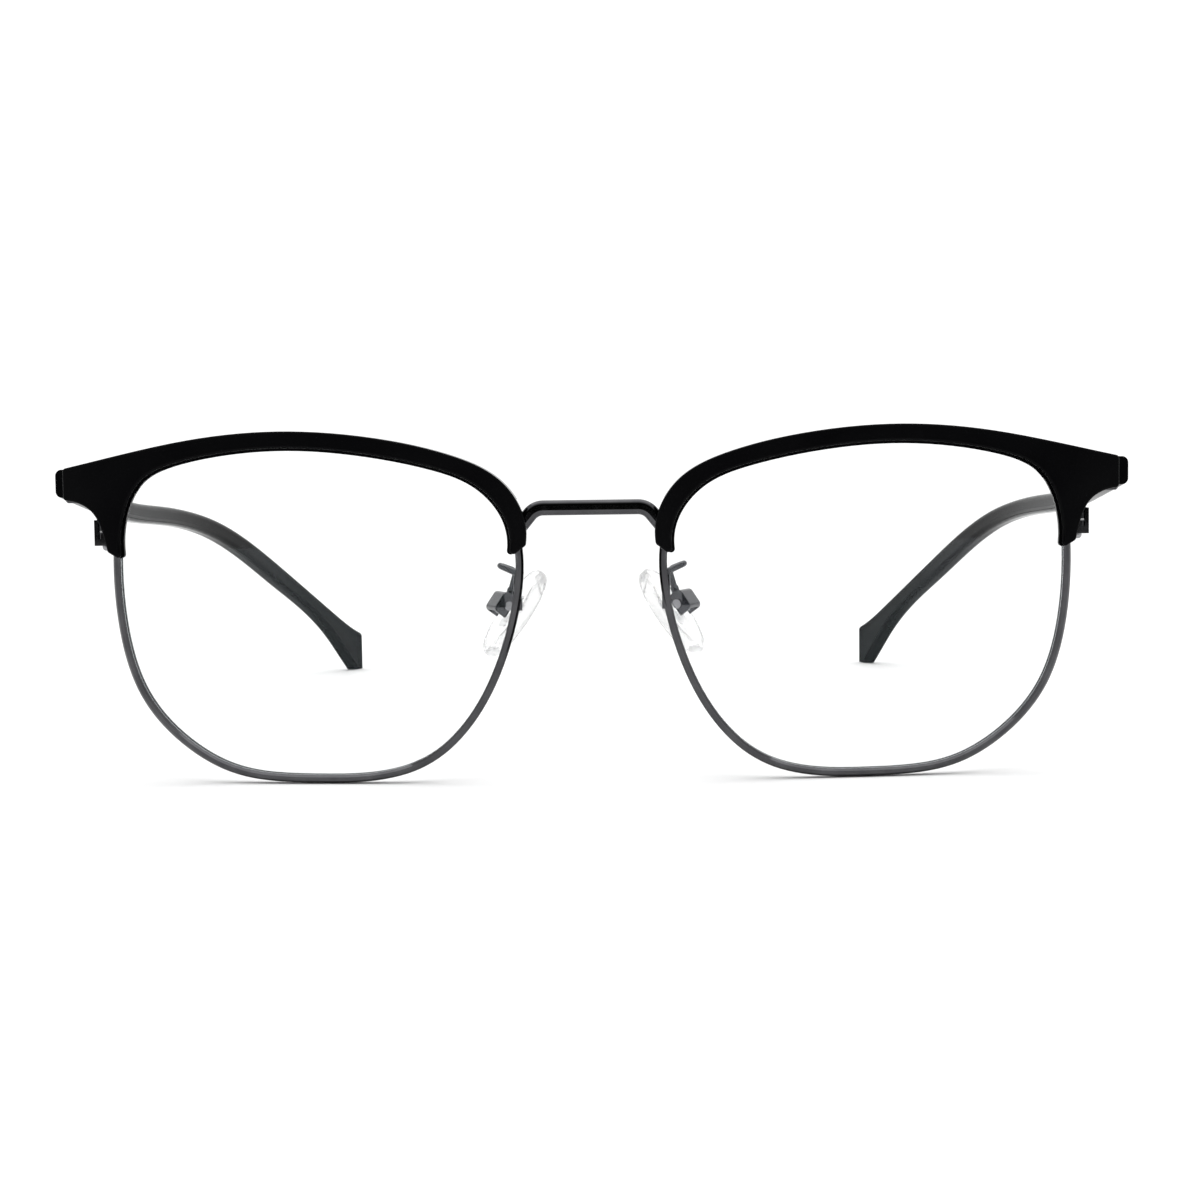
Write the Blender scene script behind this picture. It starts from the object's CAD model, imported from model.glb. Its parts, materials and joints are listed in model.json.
import json
import math

import bpy
from mathutils import Matrix, Vector


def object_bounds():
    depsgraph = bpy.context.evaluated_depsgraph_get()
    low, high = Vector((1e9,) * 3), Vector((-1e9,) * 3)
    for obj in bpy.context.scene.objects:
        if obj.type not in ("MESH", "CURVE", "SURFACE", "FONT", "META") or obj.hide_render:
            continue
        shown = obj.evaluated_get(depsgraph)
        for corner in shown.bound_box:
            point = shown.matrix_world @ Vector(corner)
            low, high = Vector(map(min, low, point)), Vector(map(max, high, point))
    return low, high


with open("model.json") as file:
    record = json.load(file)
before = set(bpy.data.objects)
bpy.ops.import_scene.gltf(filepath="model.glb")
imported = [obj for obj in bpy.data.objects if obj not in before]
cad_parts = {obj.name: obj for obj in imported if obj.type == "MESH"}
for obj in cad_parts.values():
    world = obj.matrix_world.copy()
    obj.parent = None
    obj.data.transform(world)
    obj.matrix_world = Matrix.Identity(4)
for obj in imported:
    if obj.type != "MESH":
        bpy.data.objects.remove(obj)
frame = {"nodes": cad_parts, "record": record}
cad_low, cad_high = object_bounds()
FRONT_Y = cad_low.y

# ---- camera: metres, degrees and, for the lens and the sensor, millimetres --------------------
CAMERA_SIDE = 0.00697
CAMERA_BACK = 0.280
CAMERA_HEIGHT = 0.0445
CAMERA_PITCH = 4.232
CAMERA_ROLL = 0.737
CAMERA_LENS = 64.92
CAMERA_SENSOR = 36.0
CAMERA_SHIFT = -0.0376
CAMERA_NEAR = 0.01

# ---- studio: metres and watts -----------------------------------------------------------------
FLOOR_RADIUS = 0.75
FLOOR_SIDES = 96
FLOOR_GAP = 0.0001
FLOOR_COLOUR = (0.96, 0.96, 0.96)
TOP_LIGHT_BACK = 0.15
TOP_LIGHT_HEIGHT = 0.9
TOP_LIGHT_SIZE = 1.1
TOP_LIGHT_POWER = 4.5

# The world's strength for camera rays, and for all other rays towards the front and elsewhere.
# The change between the two runs over these values of a direction's y.
BACKDROP = 1.15
DARK_FRONT = 0.02
BRIGHT_ROUND = 1.0
DARK_UP_TO_Y = -0.88
BRIGHT_FROM_Y = -0.52

# ---- the lens's reflection: its share of a bare surface's, and the most it may reach -------------
MIRROR_SHARE = 0.3
MIRROR_LIMIT = 0.06

# ---- how much rougher a metal's dullest patches are than its brightest -------------------------
WORN_SHARE = 1.9

# ---- the middle range of a noise field, which spread() stretches ----------------------------------
NOISE_LOW = 0.3
NOISE_HIGH = 0.7


# ---- node helpers ---------------------------------------------------------------------------
def new_material(name):
    """A material with its default nodes removed, and its tree and output."""
    material = bpy.data.materials.new(name)
    material.use_nodes = True
    tree = material.node_tree
    tree.nodes.clear()
    output = tree.nodes.new("ShaderNodeOutputMaterial")
    return material, tree, output


def principled(tree, output, **sockets):
    """A Principled shader on the output, with plain values on its sockets."""
    shader = tree.nodes.new("ShaderNodeBsdfPrincipled")
    for name, value in sockets.items():
        shader.inputs[name.replace("_", " ")].default_value = value
    tree.links.new(shader.outputs["BSDF"], output.inputs["Surface"])
    return shader


def noise(tree, scale, detail=3.0):
    """A noise field over the object, with its features about 1/scale metres across."""
    place = tree.nodes.new("ShaderNodeTexCoord")
    field = tree.nodes.new("ShaderNodeTexNoise")
    field.inputs["Scale"].default_value = scale
    field.inputs["Detail"].default_value = detail
    tree.links.new(place.outputs["Object"], field.inputs["Vector"])
    return field.outputs["Fac"]


def spread(tree, source, low, high):
    """The source's middle range stretched to run from low to high."""
    ranger = tree.nodes.new("ShaderNodeMapRange")
    ranger.inputs["From Min"].default_value = NOISE_LOW
    ranger.inputs["From Max"].default_value = NOISE_HIGH
    ranger.inputs["To Min"].default_value = low
    ranger.inputs["To Max"].default_value = high
    tree.links.new(source, ranger.inputs["Value"])
    return ranger.outputs["Result"]


def blend_colours(tree, factor, first, second):
    """The first colour where the factor is 0, the second where it is 1."""
    mix = tree.nodes.new("ShaderNodeMix")
    mix.data_type = "RGBA"
    mix.inputs["A"].default_value = (*first, 1.0)
    mix.inputs["B"].default_value = (*second, 1.0)
    tree.links.new(factor, mix.inputs["Factor"])
    return mix.outputs["Result"]


def bump(tree, height, distance, strength):
    """A normal that follows the height field, in metres at full strength."""
    node = tree.nodes.new("ShaderNodeBump")
    node.inputs["Distance"].default_value = distance
    node.inputs["Strength"].default_value = strength
    tree.links.new(height, node.inputs["Height"])
    return node.outputs["Normal"]


# ---- materials ------------------------------------------------------------------------------
def make_black_plastic():
    """Polished black plastic: faint cloudiness, uneven polish and very shallow ripples."""
    material, tree, output = new_material("polished_black_plastic")
    shader = principled(tree, output, IOR=1.2, Specular_IOR_Level=0.12)
    cloud = spread(tree, noise(tree, scale=90.0), 0.0, 1.0)
    colour = blend_colours(tree, cloud, (0.0022, 0.0022, 0.0026), (0.0042, 0.0042, 0.0046))
    tree.links.new(colour, shader.inputs["Base Color"])
    polish = spread(tree, noise(tree, scale=400.0, detail=5.0), 0.07, 0.14)
    tree.links.new(polish, shader.inputs["Roughness"])
    ripple = bump(tree, noise(tree, scale=260.0, detail=1.0), distance=0.00002, strength=0.05)
    tree.links.new(ripple, shader.inputs["Normal"])
    return material


def make_metal(name, dark, light, rough):
    """Polished metal: slight tone variation, uneven polish and very shallow ripples."""
    material, tree, output = new_material(name)
    shader = principled(tree, output, Metallic=1.0)
    tone = spread(tree, noise(tree, scale=300.0), 0.0, 1.0)
    tree.links.new(blend_colours(tree, tone, dark, light), shader.inputs["Base Color"])
    polish = spread(tree, noise(tree, scale=900.0, detail=4.0), rough, rough * WORN_SHARE)
    tree.links.new(polish, shader.inputs["Roughness"])
    ripple = bump(tree, noise(tree, scale=1500.0, detail=2.0), distance=0.000006, strength=0.05)
    tree.links.new(ripple, shader.inputs["Normal"])
    return material


def make_lens_material():
    """Clear coated plastic: see-through, with a weak cool reflection that grows with the slope."""
    material, tree, output = new_material("coated_clear_lens")
    through = tree.nodes.new("ShaderNodeBsdfTransparent")
    through.inputs["Color"].default_value = (0.995, 0.998, 0.997, 1.0)
    mirror = tree.nodes.new("ShaderNodeBsdfGlossy")
    mirror.inputs["Roughness"].default_value = 0.02
    tint = spread(tree, noise(tree, scale=40.0), 0.0, 1.0)
    coating = blend_colours(tree, tint, (0.70, 0.86, 0.88), (0.78, 0.84, 0.96))
    tree.links.new(coating, mirror.inputs["Color"])
    edge = tree.nodes.new("ShaderNodeFresnel")
    edge.inputs["IOR"].default_value = 1.5
    weaken = tree.nodes.new("ShaderNodeMath")
    weaken.operation = "MULTIPLY"
    weaken.inputs[1].default_value = MIRROR_SHARE
    limit = tree.nodes.new("ShaderNodeMath")
    limit.operation = "MINIMUM"
    limit.inputs[1].default_value = MIRROR_LIMIT
    tree.links.new(edge.outputs["Fac"], weaken.inputs[0])
    tree.links.new(weaken.outputs["Value"], limit.inputs[0])
    mix = tree.nodes.new("ShaderNodeMixShader")
    tree.links.new(limit.outputs["Value"], mix.inputs["Fac"])
    tree.links.new(through.outputs["BSDF"], mix.inputs[1])
    tree.links.new(mirror.outputs["BSDF"], mix.inputs[2])
    tree.links.new(mix.outputs["Shader"], output.inputs["Surface"])
    return material


def make_clear(name, bend, clearness, shade):
    """Clear moulded material: glassy, partly plain see-through, with a slightly uneven surface."""
    material, tree, output = new_material(name)
    shader = principled(tree, output, IOR=bend, Transmission_Weight=1.0)
    cloud = spread(tree, noise(tree, scale=250.0), 0.0, 1.0)
    colour = blend_colours(tree, cloud, shade, (0.99, 0.99, 0.99))
    tree.links.new(colour, shader.inputs["Base Color"])
    smooth = spread(tree, noise(tree, scale=700.0), 0.02, 0.08)
    tree.links.new(smooth, shader.inputs["Roughness"])
    ripple = bump(tree, noise(tree, scale=420.0, detail=2.0), distance=0.00004, strength=0.1)
    tree.links.new(ripple, shader.inputs["Normal"])
    through = tree.nodes.new("ShaderNodeBsdfTransparent")
    mix = tree.nodes.new("ShaderNodeMixShader")
    mix.inputs["Fac"].default_value = clearness
    tree.links.new(shader.outputs["BSDF"], mix.inputs[1])
    tree.links.new(through.outputs["BSDF"], mix.inputs[2])
    tree.links.new(mix.outputs["Shader"], output.inputs["Surface"])
    return material


def give(obj, material):
    obj.data.materials.clear()
    obj.data.materials.append(material)


# ---- studio and camera --------------------------------------------------------------------------
def make_world():
    """White all round for the camera. All other rays see it dark in front of the glasses."""
    world = bpy.data.worlds.new("studio")
    bpy.context.scene.world = world
    world.use_nodes = True
    tree = world.node_tree
    tree.nodes.clear()
    output = tree.nodes.new("ShaderNodeOutputWorld")
    background = tree.nodes.new("ShaderNodeBackground")
    background.inputs["Color"].default_value = (1.0, 1.0, 1.0, 1.0)
    tree.links.new(background.outputs["Background"], output.inputs["Surface"])
    place = tree.nodes.new("ShaderNodeTexCoord")
    parts = tree.nodes.new("ShaderNodeSeparateXYZ")
    tree.links.new(place.outputs["Generated"], parts.inputs["Vector"])
    ramp = tree.nodes.new("ShaderNodeMapRange")
    ramp.interpolation_type = "SMOOTHSTEP"
    ramp.inputs["From Min"].default_value = DARK_UP_TO_Y
    ramp.inputs["From Max"].default_value = BRIGHT_FROM_Y
    ramp.inputs["To Min"].default_value = DARK_FRONT
    ramp.inputs["To Max"].default_value = BRIGHT_ROUND
    tree.links.new(parts.outputs["Y"], ramp.inputs["Value"])
    ray = tree.nodes.new("ShaderNodeLightPath")
    choose = tree.nodes.new("ShaderNodeMix")
    choose.inputs["B"].default_value = BACKDROP
    tree.links.new(ray.outputs["Is Camera Ray"], choose.inputs["Factor"])
    tree.links.new(ramp.outputs["Result"], choose.inputs["A"])
    tree.links.new(choose.outputs["Result"], background.inputs["Strength"])


def make_floor():
    mesh = bpy.data.meshes.new("floor")
    floor = bpy.data.objects.new("floor", mesh)
    bpy.context.scene.collection.objects.link(floor)
    height = cad_low.z - FLOOR_GAP
    ring = []
    for step in range(FLOOR_SIDES):
        turn = 2 * math.pi * step / FLOOR_SIDES
        ring.append((FLOOR_RADIUS * math.cos(turn), FLOOR_RADIUS * math.sin(turn), height))
    mesh.from_pydata(ring, [], [range(len(ring))])
    material, tree, output = new_material("pale_floor")
    principled(tree, output, Base_Color=(*FLOOR_COLOUR, 1.0), Roughness=0.9)
    mesh.materials.append(material)


def make_top_light():
    lamp = bpy.data.lights.new("top_light", "AREA")
    lamp.size = TOP_LIGHT_SIZE
    lamp.energy = TOP_LIGHT_POWER
    obj = bpy.data.objects.new("top_light", lamp)
    obj.location = (0.0, TOP_LIGHT_BACK, TOP_LIGHT_HEIGHT)
    bpy.context.scene.collection.objects.link(obj)


def make_camera():
    data = bpy.data.cameras.new("camera")
    data.lens = CAMERA_LENS
    data.sensor_width = CAMERA_SENSOR
    data.shift_x = CAMERA_SHIFT
    data.clip_start = CAMERA_NEAR
    camera = bpy.data.objects.new("camera", data)
    bpy.context.scene.collection.objects.link(camera)
    pitch = math.radians(CAMERA_PITCH)
    roll = math.radians(CAMERA_ROLL)
    forward = Vector((0, math.cos(pitch), -math.sin(pitch)))
    level = Vector((1, 0, 0))
    above = level.cross(forward)
    right = level * math.cos(roll) - above * math.sin(roll)
    up = right.cross(forward)
    turned = Matrix((right, up, -forward)).transposed()
    camera.matrix_world = Matrix.Translation(
        (CAMERA_SIDE, FRONT_Y - CAMERA_BACK, CAMERA_HEIGHT)
    ) @ turned.to_4x4()
    bpy.context.scene.camera = camera


bpy.context.scene.view_settings.view_transform = "Standard"
make_world()
make_floor()
make_top_light()
make_camera()

MATERIALS = {
    "black_plastic": make_black_plastic(),
    "dark_metal": make_metal(
        "dark_plated_metal", dark=(0.06, 0.06, 0.064), light=(0.088, 0.088, 0.092), rough=0.04
    ),
    "steel_screws": make_metal(
        "polished_steel", dark=(0.22, 0.22, 0.23), light=(0.28, 0.28, 0.29), rough=0.07
    ),
    "steel_core": make_metal(
        "drawn_steel_wire", dark=(0.40, 0.40, 0.41), light=(0.5, 0.5, 0.5), rough=0.2
    ),
    "clear_lens": make_lens_material(),
    "clear_insert": make_clear(
        "clear_hard_plastic", bend=1.15, clearness=0.4, shade=(0.88, 0.89, 0.89)
    ),
    "silicone": make_clear(
        "clear_silicone", bend=1.33, clearness=0.25, shade=(0.92, 0.925, 0.925)
    ),
}
for part in frame["record"]["subparts"]:
    give(frame["nodes"][part["node"]], MATERIALS[part["material_slot"]])
